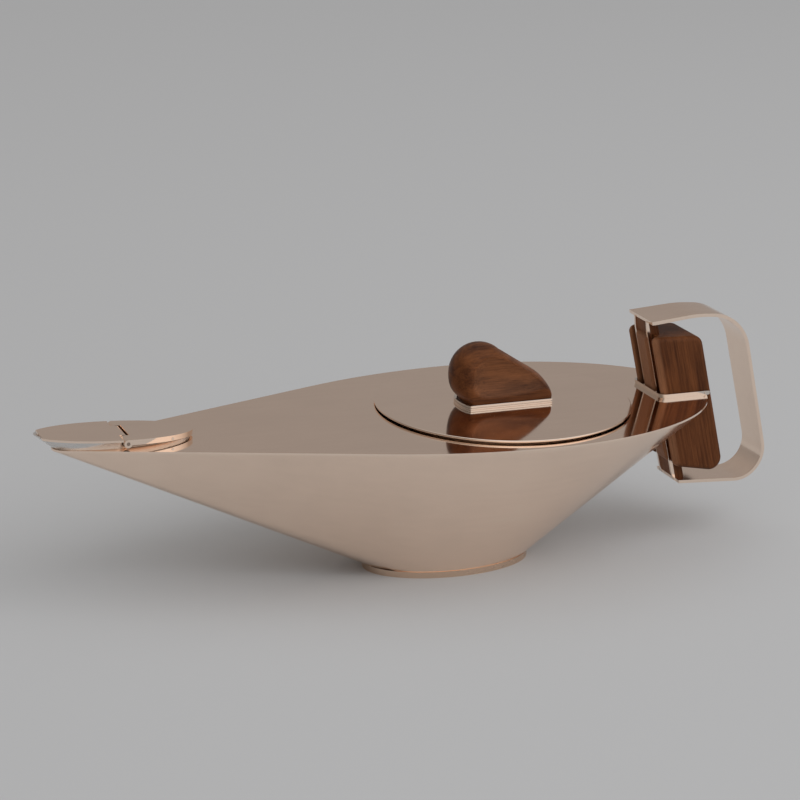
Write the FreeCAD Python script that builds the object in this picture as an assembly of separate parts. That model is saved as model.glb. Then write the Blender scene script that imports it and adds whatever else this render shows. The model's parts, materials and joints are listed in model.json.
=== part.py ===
"""Low boat-shaped teapot in silver sheet with a walnut knob and a walnut grip.

Millimetres, +Z up. The origin is the centre of the oval foot on the table.
The spout points along -X, the handle stands at +X, and +Y is the left hand of the pourer.
"""
import FreeCAD, Part
import math
import os

# Body
DECK_HEIGHT = 80.0
BODY_HALF_WIDTH = 71.5
LID_OFFSET = 29.0
REAR_REACH = 110.5
SPOUT_REACH = 203.5
SHOULDER_RADIUS = 250.0
TIP_RADIUS = 7.0
SHEET = 1.0
WALL = 1.8
SIDE_FAN = 0.8

# Foot
FOOT_HALF_LENGTH = 44.0
FOOT_HALF_WIDTH = 25.0
FOOT_HEIGHT = 3.2
FOOT_BAND = 3.2
FOOT_PROUD = 0.3
BASE_THICKNESS = 1.5

# Lid and its seat
LID_RADIUS = 65.0
LID_THICKNESS = 1.1
SEAT_RADIUS = 59.0
SEAT_WALL = 1.3
SEAT_DEPTH = 5.0
SEAT_PROUD = 0.8
FLANGE_GAP = 0.4
FLANGE_DEPTH = 9.0

# Knob, its band and its pin; each lead is towards the spout, and the scoops fall to the rear in degrees
KNOB_LENGTH = 55.0
KNOB_WIDTH = 24.0
KNOB_HEIGHT = 29.6
KNOB_LEAD = 2.0
BEZEL_WALL = 1.2
BEZEL_HEIGHT = 2.1
SCOOP_RADIUS = 52.0
SCOOP_HOLLOW = 21.0
SCOOP_DEPTH = 3.4
SCOOP_LEAD = 1.2
SCOOP_LEVEL = 14.9
SCOOP_FALL = 11.0
KNOB_PIN_RADIUS = 0.6
KNOB_PIN_LENGTH = 5.0

# Spout cover, its collar and its hinge; the cover rises to the tip by its tilt, in degrees
COVER_HALF_LENGTH = 39.6
COVER_HALF_WIDTH = 15.7
COVER_OVERHANG = 9.9
COVER_RISE = 5.5
COVER_TILT = 2.7
COVER_SKIRT = 2.6
COLLAR_INSET = 1.4
COLLAR_WALL = 1.0
MOUTH_MARGIN = 0.4
MOUTH_FLARE = 3.6
NOTCH_LENGTH = 1.6
KNUCKLE_RADIUS = 2.0
KNUCKLE_LENGTH = 15.0
HINGE_GAP = 0.35
HINGE_SETBACK = 3.7
PIN_RADIUS = 0.9
PIN_FIT = 0.05
COVER_RIVET_RADIUS = 0.7
COVER_RIVET_TURN = 48.0

# Handle: the grip, the strap and the band on the deck; the lean is in degrees
HANDLE_LEAN = 13.5
GRIP_DEPTH = 28.5
GRIP_WIDTH = 30.0
GRIP_TOP = 112.1
GRIP_TOP_FALL = 2.3
GRIP_BOTTOM = 37.1
GRIP_CORNER = 2.6
LOBE_RADIUS = 1.5
GRIP_BROW_RADIUS = 3.0
GRIP_END_RADIUS = 6.0
GRIP_PROUD = 1.0
STRAP_THICKNESS = 1.7
STRAP_FRONT_WIDTH = 26.0
STRAP_REAR_WIDTH = 20.5
STRAP_TOP = 122.4
STRAP_CROWN = 2.2
STRAP_CROWN_RADIUS = 70.0
STRAP_BOTTOM = 27.6
STRAP_BOTTOM_RISE = 3.5
STRAP_DEPTH = 54.2
STRAP_TOP_RADIUS = 25.0
STRAP_BOTTOM_RADIUS = 16.0
STRAP_TOE_RADIUS = 4.5
WINDOW_WIDTH = 11.6
LEG_WIDTH = 5.8
LEG_RECESS = 2.2
LEG_GAP = 0.2
SOCKET_GAP = 0.3
BAND_WALL = 1.2
BAND_HEIGHT = 2.1
ARM_SETBACK = 2.2
ARM_END_RADIUS = 0.8
BAND_RIVET_RADIUS = 0.6
BAND_RIVET_LENGTH = 6.0
BAND_RIVET_SETBACK = 2.6

# Fit of every pin and rivet
RIVET_HEAD = 0.4
RIVET_FIT = 0.02

# Strainer
STRAINER_X = -95.0
STRAINER_HOLE = 1.6
STRAINER_PITCH = 8.0
STRAINER_MARGIN = 4.0

# Values that follow from the sizes above
LEAN = math.radians(HANDLE_LEAN)
LEAN_SLOPE = math.tan(LEAN)
PLATE_UNDERSIDE = DECK_HEIGHT - SHEET
LID_UNDERSIDE = DECK_HEIGHT + SEAT_PROUD
LID_TOP = LID_UNDERSIDE + LID_THICKNESS
COVER_TOP = DECK_HEIGHT + COVER_RISE
COVER_UNDERSIDE = COVER_TOP - SHEET
COVER_X = COVER_HALF_LENGTH - SPOUT_REACH - COVER_OVERHANG
PIN_X = COVER_X + HINGE_SETBACK
PIN_Z = COVER_TOP - KNUCKLE_RADIUS
GRIP_REAR = LID_OFFSET + REAR_REACH + GRIP_PROUD
GRIP_FRONT = GRIP_REAR - GRIP_DEPTH
ARM_END = GRIP_REAR - ARM_SETBACK
KNOB_X = LID_OFFSET - KNOB_LEAD
KNOB_SEAT = LID_TOP + BEZEL_HEIGHT
FAR = 400.0

# Levels of the knob above its band: height, front end, rear end and half width,
# as shares of the knob's height, length and width, with the ends from its middle
KNOB_LEVELS = ((0.00, -0.415, 0.504, 0.500), (0.18, -0.442, 0.457, 0.535), (0.40, -0.479, 0.331, 0.555),
               (0.62, -0.475, 0.136, 0.525), (0.82, -0.419, 0.013, 0.420), (0.94, -0.327, -0.106, 0.280),
               (1.00, -0.248, -0.158, 0.100))
KNOB_ROUNDING = 0.8


def vec(x, y, z):
    return FreeCAD.Vector(x, y, z)


def box(x_range, y_range, z_range):
    """Block between two corners."""
    size = [high - low for low, high in (x_range, y_range, z_range)]
    return Part.makeBox(*size, vec(x_range[0], y_range[0], z_range[0]))


def across(half_length):
    """Range of that length to both sides of the middle plane."""
    return (-half_length, half_length)


def prism(wire, direction):
    """Solid swept from a flat closed wire along a straight line."""
    return Part.Face(wire).extrude(direction)


def rounded_wire(corners, place):
    """Closed wire of straight lines; each corner (u, v, radius) is rounded where its radius isn't 0."""
    edges = []
    starts = []
    ends = []
    arcs = []
    count = len(corners)
    for index, (u, v, radius) in enumerate(corners):
        corner = vec(u, v, 0)
        before = vec(*corners[index - 1][:2], 0)
        after = vec(*corners[(index + 1) % count][:2], 0)
        to_before = (before - corner).normalize()
        to_after = (after - corner).normalize()
        half_angle = to_before.getAngle(to_after) / 2
        reach = radius / math.tan(half_angle)
        bisector = (to_before + to_after).normalize()
        centre_distance = radius / math.sin(half_angle)
        starts.append(corner + to_before * reach)
        ends.append(corner + to_after * reach)
        arcs.append(corner + bisector * (centre_distance - radius))
    for index in range(count):
        if corners[index][2] > 0:
            points = [place(p.x, p.y) for p in (starts[index], arcs[index], ends[index])]
            edges.append(Part.Arc(*points).toShape())
        following = starts[(index + 1) % count]
        edges.append(Part.makeLine(place(ends[index].x, ends[index].y), place(following.x, following.y)))
    return Part.Wire(edges)


def in_plan(z):
    """Puts the two numbers of a flat outline on the level z."""
    return lambda u, v: vec(u, v, z)


def in_side_view(y):
    """Puts the two numbers of a flat outline on the upright plane at y."""
    return lambda u, v: vec(u, y, v)


def ellipse_arc(centre, half_length, half_width, start, end):
    """Arc of an ellipse that lies level with its long axis along X; angles run from +X to +Y."""
    ellipse = Part.Ellipse(centre, half_length, half_width)
    return Part.ArcOfEllipse(ellipse, start, end).toShape()


def oval_wire(centre, half_length, half_width):
    return Part.Wire([Part.Ellipse(centre, half_length, half_width).toShape()])


def rounded_plan(front, rear, half_width, radius, z):
    """Level rectangle from x = front to x = rear with round corners."""
    corners = [(front, -half_width, radius), (rear, -half_width, radius),
               (rear, half_width, radius), (front, half_width, radius)]
    return rounded_wire(corners, in_plan(z))


def side_angle():
    """Slant of the straight sides, which are tangent to the shoulder arcs and to the tip arc."""
    run = LID_OFFSET + SPOUT_REACH - TIP_RADIUS
    rise = SHOULDER_RADIUS - BODY_HALF_WIDTH
    return math.atan2(run, rise) - math.acos((SHOULDER_RADIUS - TIP_RADIUS) / math.hypot(run, rise))


def deck_outline(inset, z):
    """Teardrop outline of the top, drawn in by inset."""
    angle = side_angle()
    shoulder = SHOULDER_RADIUS - inset
    tip = TIP_RADIUS - inset
    half_width = BODY_HALF_WIDTH - inset

    def on_shoulder(a, side):
        x = LID_OFFSET - shoulder * math.sin(a)
        return vec(x, side * (half_width - shoulder * (1 - math.cos(a))), z)

    def on_tip(side):
        return vec(TIP_RADIUS - SPOUT_REACH - tip * math.sin(angle), side * tip * math.cos(angle), z)

    centre = vec(LID_OFFSET, 0, z)
    tip_point = vec(inset - SPOUT_REACH, 0, z)
    rear = (centre, REAR_REACH - inset, half_width)
    edges = [ellipse_arc(*rear, 0, math.pi / 2),
             Part.Arc(on_shoulder(0, 1), on_shoulder(angle / 2, 1), on_shoulder(angle, 1)).toShape(),
             Part.makeLine(on_shoulder(angle, 1), on_tip(1)),
             Part.Arc(on_tip(1), tip_point, on_tip(-1)).toShape(),
             Part.makeLine(on_tip(-1), on_shoulder(angle, -1)),
             Part.Arc(on_shoulder(angle, -1), on_shoulder(angle / 2, -1), on_shoulder(0, -1)).toShape(),
             ellipse_arc(*rear, 1.5 * math.pi, 2 * math.pi)]
    return Part.Wire(edges)


def foot_outline(inset, z):
    """Oval of the foot, split where its slant matches the pieces of the top's outline."""
    half_length = FOOT_HALF_LENGTH - inset
    half_width = FOOT_HALF_WIDTH - inset
    slack = math.radians(SIDE_FAN) / 2

    def turn(slant):
        return math.atan2(half_width * math.cos(slant), -half_length * math.sin(slant))

    first = turn(side_angle() - slack)
    second = turn(side_angle() + slack)
    full = 2 * math.pi
    turns = [0, math.pi / 2, first, second, full - second, full - first, 1.5 * math.pi, full]
    oval = (vec(0, 0, z), half_length, half_width)
    return Part.Wire([ellipse_arc(*oval, a, b) for a, b in zip(turns, turns[1:])])


def vessel(inset):
    """Solid between the foot and the top plate, drawn in by inset."""
    return Part.makeLoft([foot_outline(inset, FOOT_HEIGHT), deck_outline(inset, PLATE_UNDERSIDE)], True, True)


def leaning_prism(outline, low, high):
    """Sweeps an outline drawn at deck level along the lean of the handle, from low to high."""
    face = Part.Face(outline)
    face.translate(vec((DECK_HEIGHT - low) * LEAN_SLOPE, 0, low - DECK_HEIGHT))
    return face.extrude(vec((low - high) * LEAN_SLOPE, 0, high - low))


def grip_plan(grow, rear):
    """Plan of the grip at deck level, grown all round and running back to x = rear."""
    half_width = GRIP_WIDTH / 2 + grow
    front = GRIP_FRONT - grow
    corner = GRIP_CORNER + grow
    corners = [(front, -half_width, corner), (rear, -half_width, 0),
               (rear, half_width, 0), (front, half_width, corner)]
    return rounded_wire(corners, in_plan(DECK_HEIGHT))


def socket_space(grow):
    """Room for the grip where it passes the deck and the rear wall, open to the rear."""
    return leaning_prism(grip_plan(grow, GRIP_REAR + FAR), FOOT_HEIGHT, COVER_TOP)


def body_shell():
    wall = vessel(0).cut(vessel(WALL))
    return wall.cut(socket_space(SOCKET_GAP + SHEET))


def base_plate():
    slab = box((-FAR, FAR), (-FAR, FAR), (FOOT_HEIGHT, FOOT_HEIGHT + BASE_THICKNESS))
    return vessel(WALL).common(slab)


def foot_rim():
    outer = oval_wire(vec(0, 0, 0), FOOT_HALF_LENGTH + FOOT_PROUD, FOOT_HALF_WIDTH + FOOT_PROUD)
    inner = oval_wire(vec(0, 0, 0), FOOT_HALF_LENGTH - FOOT_BAND, FOOT_HALF_WIDTH - FOOT_BAND)
    up = vec(0, 0, FOOT_HEIGHT)
    return prism(outer, up).cut(prism(inner, up))


def handle_socket():
    """U-shaped pocket that closes the vessel round the grip."""
    walls = socket_space(SOCKET_GAP + SHEET).cut(socket_space(SOCKET_GAP))
    return walls.common(vessel(0))


def mouth_oval(inset, z):
    """Oval of the mouth at deck level."""
    front = MOUTH_MARGIN - SPOUT_REACH
    rear = COVER_X + COVER_HALF_LENGTH - COLLAR_INSET - MOUTH_MARGIN
    half_length = (rear - front) / 2 - inset
    half_width = COVER_HALF_WIDTH - COLLAR_INSET - MOUTH_FLARE - inset
    return oval_wire(vec((front + rear) / 2, 0, z), half_length, half_width)


def collar_top_oval(inset, z):
    """Oval of the collar where it carries the cover."""
    half_length = COVER_HALF_LENGTH - COLLAR_INSET - inset
    half_width = COVER_HALF_WIDTH - COLLAR_INSET - inset
    return oval_wire(vec(COVER_X, 0, z), half_length, half_width)


def top_plate():
    plate = prism(deck_outline(0, PLATE_UNDERSIDE), vec(0, 0, SHEET))
    lid_hole = Part.makeCylinder(SEAT_RADIUS, SHEET, vec(LID_OFFSET, 0, PLATE_UNDERSIDE))
    mouth = prism(mouth_oval(COLLAR_WALL, PLATE_UNDERSIDE), vec(0, 0, SHEET))
    return plate.cut(lid_hole).cut(mouth).cut(socket_space(SOCKET_GAP))


def ring(outer_radius, inner_radius, low, high):
    """Upright ring round the lid's axis."""
    base = vec(LID_OFFSET, 0, low)
    outer = Part.makeCylinder(outer_radius, high - low, base)
    return outer.cut(Part.makeCylinder(inner_radius, high - low, base))


def lid_seat_ring():
    return ring(SEAT_RADIUS, SEAT_RADIUS - SEAT_WALL, DECK_HEIGHT - SEAT_DEPTH, LID_UNDERSIDE)


def lid_disc():
    return Part.makeCylinder(LID_RADIUS, LID_THICKNESS, vec(LID_OFFSET, 0, LID_UNDERSIDE))


def lid_flange():
    outer_radius = SEAT_RADIUS - SEAT_WALL - FLANGE_GAP
    return ring(outer_radius, outer_radius - SHEET, LID_UNDERSIDE - FLANGE_DEPTH, LID_UNDERSIDE)


def knob_ends(front, rear, half_width):
    """Sizes of one level of the knob from its shares."""
    return KNOB_X + front * KNOB_LENGTH, KNOB_X + rear * KNOB_LENGTH, half_width * KNOB_WIDTH


def knob_foot(grow, low, high):
    """Upright block on the plan of the knob's lowest level, grown all round."""
    front, rear, half_width = knob_ends(*KNOB_LEVELS[0][1:])
    radius = KNOB_ROUNDING * half_width + grow
    plan = rounded_plan(front - grow, rear + grow, half_width + grow, radius, low)
    return prism(plan, vec(0, 0, high - low))


def knob_pin_rod(radius, head):
    """Rod through the rear end of the band into the wood, along X, standing head proud."""
    rear = knob_ends(*KNOB_LEVELS[0][1:])[1] + BEZEL_WALL
    start = vec(rear + head, 0, LID_TOP + BEZEL_HEIGHT / 2)
    return Part.makeCylinder(radius, KNOB_PIN_LENGTH + head, start, vec(-1, 0, 0))


def knob_pin():
    return knob_pin_rod(KNOB_PIN_RADIUS, RIVET_HEAD)


def knob_pin_hole():
    return knob_pin_rod(KNOB_PIN_RADIUS + RIVET_FIT, FAR)


def knob_bezel():
    band = knob_foot(BEZEL_WALL, LID_TOP, KNOB_SEAT).cut(knob_foot(0, LID_TOP, KNOB_SEAT))
    return band.cut(knob_pin_hole())


def thumb_scoop(side):
    """Ring whose outside hollows one flank of the knob: shallow along the knob, steep across it."""
    scoop = Part.makeTorus(SCOOP_RADIUS - SCOOP_HOLLOW, SCOOP_HOLLOW)
    scoop.rotate(vec(0, 0, 0), vec(0, 1, 0), SCOOP_FALL)
    reach = KNOB_WIDTH / 2 - SCOOP_DEPTH + SCOOP_RADIUS
    scoop.translate(vec(KNOB_X - SCOOP_LEAD, side * reach, KNOB_SEAT + SCOOP_LEVEL))
    return scoop


def knob():
    """Carved knob: a bulb that leans forward, a falling back and a thumb scoop on each side."""
    wires = []
    for height, *shares in KNOB_LEVELS:
        front, rear, half_width = knob_ends(*shares)
        z = KNOB_SEAT + height * KNOB_HEIGHT
        wires.append(rounded_plan(front, rear, half_width, KNOB_ROUNDING * half_width, z))
    carved = Part.makeLoft(wires, True, False).fuse(knob_foot(0, LID_TOP, KNOB_SEAT))
    for side in (-1, 1):
        carved = carved.cut(thumb_scoop(side))
    return carved.cut(knob_pin_hole())


def pin_cylinder(radius, half_length):
    """Cylinder round the axis of the spout hinge."""
    return Part.makeCylinder(radius, 2 * half_length, vec(PIN_X, -half_length, PIN_Z), vec(0, 1, 0))


def tilted(shape):
    """Turns what was drawn level about the middle of the cover, so that it rises to the tip."""
    turned = shape.copy()
    turned.rotate(vec(COVER_X, 0, COVER_TOP), vec(0, 1, 0), COVER_TILT)
    return turned


def hinge_pin():
    return tilted(pin_cylinder(PIN_RADIUS, COVER_HALF_WIDTH))


def spout_collar():
    """Flared oval wall from the mouth up to the cover, with a lip before the flap."""
    outer = Part.makeLoft([mouth_oval(0, DECK_HEIGHT), tilted(collar_top_oval(0, COVER_TOP))], True, True)
    inner = Part.makeLoft([mouth_oval(COLLAR_WALL, DECK_HEIGHT),
                           tilted(collar_top_oval(COLLAR_WALL, COVER_TOP))], True, True)
    room = box((flap_tip() - HINGE_GAP, FAR), across(FAR), (COVER_UNDERSIDE, FAR))
    hinge_room = pin_cylinder(KNUCKLE_RADIUS + HINGE_GAP, FAR)
    collar = outer.cut(inner).cut(tilted(room)).cut(tilted(hinge_room))
    return collar.cut(tilted(rivet_set(cover_rivet_places(), COVER_RIVET_RADIUS + RIVET_FIT, 0)))


def cover_plate(low):
    """Oval of the whole spout cover from low to its top face."""
    outline = oval_wire(vec(COVER_X, 0, low), COVER_HALF_LENGTH, COVER_HALF_WIDTH)
    return prism(outline, vec(0, 0, COVER_TOP - low))


def spout_rear_cover():
    """Fixed rear half of the cover: a plate with a skirt and the two outer knuckles."""
    skirt_low = COVER_TOP - COVER_SKIRT
    hollow = prism(collar_top_oval(0, skirt_low), vec(0, 0, COVER_UNDERSIDE - skirt_low))
    cover = cover_plate(skirt_low).cut(hollow)
    cover = cover.common(box((PIN_X, FAR), across(FAR), (0, COVER_TOP)))
    knuckles = pin_cylinder(KNUCKLE_RADIUS, FAR).common(cover_plate(DECK_HEIGHT))
    middle = KNUCKLE_LENGTH / 2 + HINGE_GAP
    slot_end = PIN_X + KNUCKLE_RADIUS + HINGE_GAP
    slot = box((PIN_X - FAR, slot_end), across(middle), (0, COVER_TOP))
    cover = cover.fuse(knuckles).cut(slot).cut(pin_cylinder(PIN_RADIUS + RIVET_FIT, FAR))
    cover = cover.cut(rivet_set(cover_rivet_places(), COVER_RIVET_RADIUS + RIVET_FIT, 0))
    return tilted(cover.removeSplitter())


def flap_tip():
    """x of the flap's cut tip, behind the lip by the length of the pouring notch."""
    return COVER_X - COVER_HALF_LENGTH + COLLAR_INSET + COLLAR_WALL + NOTCH_LENGTH


def spout_flap():
    """Hinged front half of the cover with the middle knuckle; its cut tip leaves the pouring notch."""
    blade_end = PIN_X - KNUCKLE_RADIUS - HINGE_GAP
    levels = (COVER_UNDERSIDE, COVER_TOP)
    blade = box((flap_tip(), blade_end), across(FAR), levels)
    tongue = box((blade_end, PIN_X), across(KNUCKLE_LENGTH / 2), levels)
    plate = cover_plate(COVER_UNDERSIDE).common(blade.fuse(tongue))
    flap = plate.fuse(pin_cylinder(KNUCKLE_RADIUS, KNUCKLE_LENGTH / 2))
    return tilted(flap.cut(pin_cylinder(PIN_RADIUS + PIN_FIT, FAR)).removeSplitter())


def cover_rivet_places():
    """Start and direction of the two rivets at the rear of the spout cover."""
    places = []
    for side in (-1, 1):
        turn = side * math.radians(COVER_RIVET_TURN)
        on_edge = vec(COVER_X + COVER_HALF_LENGTH * math.cos(turn), COVER_HALF_WIDTH * math.sin(turn), 0)
        out = vec(math.cos(turn) / COVER_HALF_LENGTH, math.sin(turn) / COVER_HALF_WIDTH, 0).normalize()
        start = vec(on_edge.x, on_edge.y, COVER_UNDERSIDE - COVER_RIVET_RADIUS)
        places.append((start, out * -1, COLLAR_INSET + COLLAR_WALL))
    return places


def band_rivet_places():
    """Start and direction of the rivets through the arms of the handle's band."""
    places = []
    z = DECK_HEIGHT + BAND_HEIGHT / 2
    x = ARM_END - BAND_RIVET_SETBACK
    for side in (-1, 1):
        start = vec(x, side * (GRIP_WIDTH / 2 + SOCKET_GAP + BAND_WALL), z)
        places.append((start, vec(0, -side, 0), BAND_RIVET_LENGTH))
    return places


def rivet_set(places, radius, head):
    """Straight rivets, each from its start inwards, standing head proud of the surface."""
    rivets = []
    for start, inwards, length in places:
        rivets.append(Part.makeCylinder(radius, length + head, start - inwards * head, inwards))
    return Part.makeCompound(rivets)


def cover_rivets():
    return tilted(rivet_set(cover_rivet_places(), COVER_RIVET_RADIUS, RIVET_HEAD / 2))


def collar_rivets():
    return rivet_set(band_rivet_places(), BAND_RIVET_RADIUS, RIVET_HEAD)


def handle_collar():
    """U-shaped band on the deck that holds the grip; its arms reach past the rim and end round."""
    top = DECK_HEIGHT + BAND_HEIGHT
    outer = leaning_prism(grip_plan(SOCKET_GAP + BAND_WALL, GRIP_REAR), DECK_HEIGHT, top)
    inner = leaning_prism(grip_plan(SOCKET_GAP, GRIP_REAR + FAR), DECK_HEIGHT, top)
    side_view = [(GRIP_FRONT - GRIP_DEPTH, DECK_HEIGHT, 0), (ARM_END, DECK_HEIGHT, ARM_END_RADIUS),
                 (ARM_END, top, ARM_END_RADIUS), (GRIP_FRONT - GRIP_DEPTH, top, 0)]
    ends = prism(rounded_wire(side_view, in_side_view(-GRIP_WIDTH)), vec(0, 2 * GRIP_WIDTH, 0))
    collar = outer.cut(inner).common(ends)
    return collar.cut(rivet_set(band_rivet_places(), BAND_RIVET_RADIUS + RIVET_FIT, FAR))


def lean_x(x_at_deck, z):
    """x at height z of a line along the handle's lean that crosses the deck at x_at_deck."""
    return x_at_deck + (DECK_HEIGHT - z) * LEAN_SLOPE


def leg_groove(side):
    """Plan of the groove for one leg of the strap, with round lips at the front of the grip."""
    floor = GRIP_FRONT + LEG_RECESS + STRAP_THICKNESS / math.cos(LEAN)
    inner = WINDOW_WIDTH / 2 - LEG_GAP
    outer = WINDOW_WIDTH / 2 + LEG_WIDTH + LEG_GAP
    mouth = GRIP_FRONT - GRIP_DEPTH
    corners = [(mouth, inner - 2 * LOBE_RADIUS, 0), (GRIP_FRONT, inner - 2 * LOBE_RADIUS, 0),
               (GRIP_FRONT, inner, LOBE_RADIUS), (floor, inner, 0), (floor, outer, 0),
               (GRIP_FRONT, outer, LOBE_RADIUS), (GRIP_FRONT, outer + 2 * LOBE_RADIUS, 0),
               (mouth, outer + 2 * LOBE_RADIUS, 0)]
    return rounded_wire([(x, side * y, radius) for x, y, radius in corners], in_plan(DECK_HEIGHT))


def handle_grip():
    """Walnut block along the lean, rounded all round, with two grooves in its front."""
    drop = GRIP_DEPTH * LEAN_SLOPE
    rear_top = GRIP_TOP - GRIP_TOP_FALL
    front_bottom = GRIP_BOTTOM + drop
    side_view = [(lean_x(GRIP_FRONT, GRIP_TOP), GRIP_TOP, GRIP_BROW_RADIUS),
                 (lean_x(GRIP_REAR, rear_top), rear_top, GRIP_END_RADIUS),
                 (lean_x(GRIP_REAR, GRIP_BOTTOM), GRIP_BOTTOM, GRIP_END_RADIUS),
                 (lean_x(GRIP_FRONT, front_bottom), front_bottom, GRIP_END_RADIUS)]
    block = prism(rounded_wire(side_view, in_side_view(-GRIP_WIDTH / 2)), vec(0, GRIP_WIDTH, 0))
    side_edges = [edge for edge in block.Edges if edge.BoundBox.YLength < GRIP_WIDTH / 2]
    block = block.makeFillet(GRIP_CORNER, side_edges)
    for side in (-1, 1):
        block = block.cut(leaning_prism(leg_groove(side), 0, GRIP_TOP + GRIP_DEPTH))
    return block.cut(rivet_set(band_rivet_places(), BAND_RIVET_RADIUS + RIVET_FIT, FAR))


def strap_profile(inset):
    """Side view of the strap loop, drawn in by inset; its top is a flat arch."""
    cosine = math.cos(LEAN)
    front = GRIP_FRONT + LEG_RECESS + inset / cosine
    rear = GRIP_FRONT + LEG_RECESS + STRAP_DEPTH - inset / cosine
    top = STRAP_TOP - inset
    bottom = STRAP_BOTTOM + inset
    toe = bottom + STRAP_BOTTOM_RISE
    brow = top - STRAP_CROWN
    middle = (front + rear) / 2
    corners = [(lean_x(front, brow), brow, 0),
               (lean_x(middle, top), top, STRAP_CROWN_RADIUS),
               (lean_x(rear, brow), brow, STRAP_TOP_RADIUS - inset),
               (lean_x(rear, bottom), bottom, STRAP_BOTTOM_RADIUS - inset),
               (lean_x(front, toe), toe, STRAP_TOE_RADIUS - inset)]
    return rounded_wire(corners, in_side_view(-STRAP_FRONT_WIDTH))


def handle_strap():
    """Strap loop, narrower to the rear; its front is slotted into the two legs."""
    sweep = vec(0, 2 * STRAP_FRONT_WIDTH, 0)
    loop = prism(strap_profile(0), sweep).cut(prism(strap_profile(STRAP_THICKNESS), sweep))
    front = lean_x(GRIP_FRONT + LEG_RECESS, STRAP_TOP)
    rear = lean_x(GRIP_FRONT + LEG_RECESS + STRAP_DEPTH, STRAP_BOTTOM)
    half_front = STRAP_FRONT_WIDTH / 2
    half_rear = STRAP_REAR_WIDTH / 2
    plan = [(front, -half_front, 0), (rear, -half_rear, 0), (rear, half_rear, 0), (front, half_front, 0)]
    loop = loop.common(prism(rounded_wire(plan, in_plan(0)), vec(0, 0, STRAP_TOP)))
    inside = GRIP_FRONT + LEG_RECESS + 2 * STRAP_THICKNESS
    sill = STRAP_BOTTOM + STRAP_BOTTOM_RISE + STRAP_TOE_RADIUS
    lintel = STRAP_TOP - STRAP_CROWN - STRAP_THICKNESS
    leg_outside = WINDOW_WIDTH / 2 + LEG_WIDTH
    for low, high in ((-GRIP_WIDTH, -leg_outside), across(WINDOW_WIDTH / 2), (leg_outside, GRIP_WIDTH)):
        slot = [(GRIP_FRONT - GRIP_DEPTH, low, 0), (inside, low, 0),
                (inside, high, 0), (GRIP_FRONT - GRIP_DEPTH, high, 0)]
        loop = loop.cut(leaning_prism(rounded_wire(slot, in_plan(DECK_HEIGHT)), sill, lintel))
    return loop


def strainer():
    """Pierced plate across the vessel, with as many holes in each row as fit its width."""
    slab = box((STRAINER_X, STRAINER_X + SHEET), across(FAR), (0, FAR))
    plate = vessel(WALL).common(slab)
    room = plate.optimalBoundingBox()
    slope = room.YMax / room.ZLength
    holes = []
    z = room.ZMax - STRAINER_PITCH
    while z > room.ZMin + STRAINER_PITCH:
        reach = (z - room.ZMin) * slope - STRAINER_HOLE - STRAINER_MARGIN
        pairs = int(reach / STRAINER_PITCH)
        for place in range(-pairs, pairs + 1):
            start = vec(STRAINER_X, place * STRAINER_PITCH, z)
            holes.append(Part.makeCylinder(STRAINER_HOLE, SHEET, start, vec(1, 0, 0)))
        z -= STRAINER_PITCH
    return plate.cut(Part.makeCompound(holes))


PIECES = (body_shell, base_plate, foot_rim, top_plate, handle_socket, strainer, lid_seat_ring,
          lid_disc, lid_flange, knob_bezel, knob, knob_pin,
          spout_collar, spout_rear_cover, spout_flap, hinge_pin, cover_rivets,
          handle_collar, handle_grip, handle_strap, collar_rivets)

os.makedirs("parts", exist_ok=True)
for piece in PIECES:
    shape = piece()
    shape.exportStep(f"parts/{piece.__name__}.step")
    print(piece.__name__, len(shape.Solids), "solids", round(shape.Volume, 1), "mm3", shape.isValid())
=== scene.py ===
"""Looks of the low boat-shaped teapot: warm polished silver, walnut knob and walnut grip."""
import json
import math

import bmesh
import bpy
from mathutils import Matrix, Vector

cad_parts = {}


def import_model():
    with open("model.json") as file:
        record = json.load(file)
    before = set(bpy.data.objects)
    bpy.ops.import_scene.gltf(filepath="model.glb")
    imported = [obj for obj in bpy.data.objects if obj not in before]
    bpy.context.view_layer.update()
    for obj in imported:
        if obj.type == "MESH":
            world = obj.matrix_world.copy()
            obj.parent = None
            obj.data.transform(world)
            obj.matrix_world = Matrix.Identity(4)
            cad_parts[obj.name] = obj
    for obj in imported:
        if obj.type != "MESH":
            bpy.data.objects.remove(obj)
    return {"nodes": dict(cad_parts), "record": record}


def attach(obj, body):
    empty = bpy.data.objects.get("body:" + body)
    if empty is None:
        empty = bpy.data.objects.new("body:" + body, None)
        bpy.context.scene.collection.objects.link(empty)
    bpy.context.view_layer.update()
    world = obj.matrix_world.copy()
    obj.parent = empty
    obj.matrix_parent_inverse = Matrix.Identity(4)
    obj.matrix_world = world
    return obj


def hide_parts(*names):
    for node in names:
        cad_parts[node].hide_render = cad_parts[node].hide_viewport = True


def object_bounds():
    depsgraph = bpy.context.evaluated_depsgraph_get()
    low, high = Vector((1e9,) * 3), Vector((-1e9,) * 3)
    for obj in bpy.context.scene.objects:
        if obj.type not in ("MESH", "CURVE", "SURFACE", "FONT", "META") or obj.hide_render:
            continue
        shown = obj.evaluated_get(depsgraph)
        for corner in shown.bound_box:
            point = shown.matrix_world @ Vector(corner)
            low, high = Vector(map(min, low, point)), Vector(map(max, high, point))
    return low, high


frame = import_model()
cad_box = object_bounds()

MM = 0.001

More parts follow.
